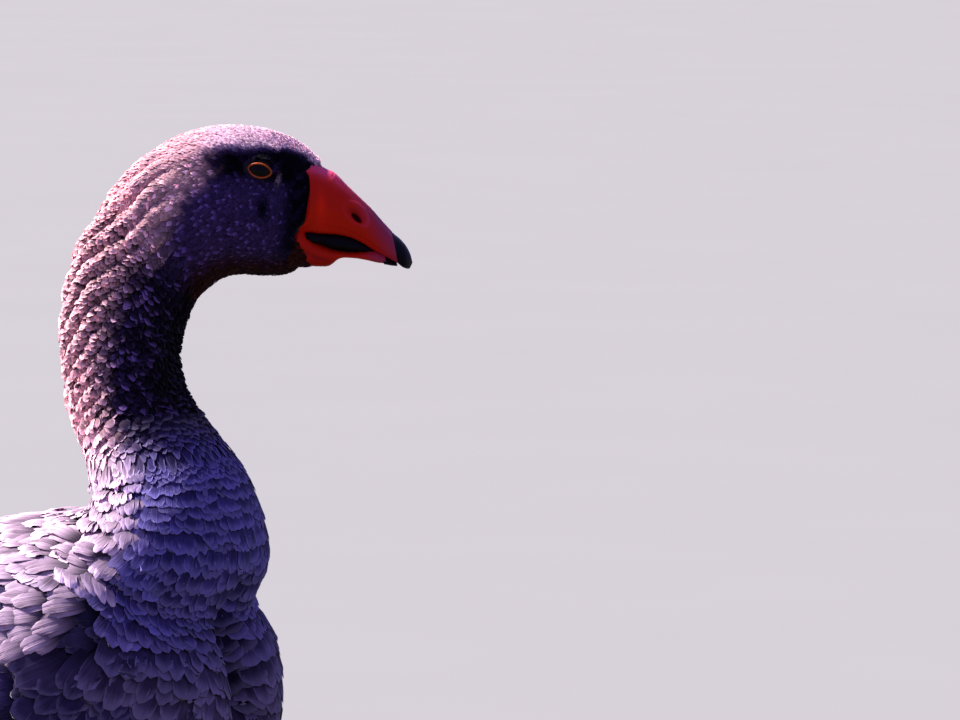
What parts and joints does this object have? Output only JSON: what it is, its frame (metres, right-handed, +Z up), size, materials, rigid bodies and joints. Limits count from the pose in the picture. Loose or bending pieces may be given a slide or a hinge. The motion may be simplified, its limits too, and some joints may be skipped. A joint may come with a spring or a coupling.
{
  "type": "domestic goose",
  "caption": "Grey domestic goose standing still with its head turned a little to its left, as a life-size solid model in parts.",
  "frame": {"origin": "on the floor, under the middle of the bounding box", "axes": "+X towards the breast, +Y to the bird's left, +Z up; the head is turned 22 degrees towards +Y"},
  "size_m": [0.564, 0.2376, 0.547],
  "materials": {
    "plumage": "matt feathers, violet grey with paler edges",
    "head_plumage": "short matt feathers, dark violet grey",
    "bill": "smooth horn, satin orange red",
    "horn": "smooth blue-black horn",
    "eye": "wet dark brown eye",
    "leg": "scaled orange skin"
  },
  "bodies": {
    "root": {"head": "head_plumage", "neck_upper": "plumage", "neck_lower": "plumage", "crop": "plumage", "breast": "plumage", "trunk": "plumage", "rump": "plumage", "tail": "plumage", "bill_upper": "bill", "bill_lower": "bill", "bill_nail": "horn", "bill_nail_lower": "horn", "bill_comb": "horn", "eye_left": "eye", "eye_right": "eye", "wing_left": "plumage", "primaries_left": "plumage", "thigh_left": "plumage", "shank_left": "leg", "foot_left": "leg", "hind_toe_left": "leg", "claw_inner_left": "horn", "claw_middle_left": "horn", "claw_outer_left": "horn", "claw_hind_left": "horn", "wing_right": "plumage", "primaries_right": "plumage", "thigh_right": "plumage", "shank_right": "leg", "foot_right": "leg", "hind_toe_right": "leg", "claw_inner_right": "horn", "claw_middle_right": "horn", "claw_outer_right": "horn", "claw_hind_right": "horn"}
  },
  "joints": []
}
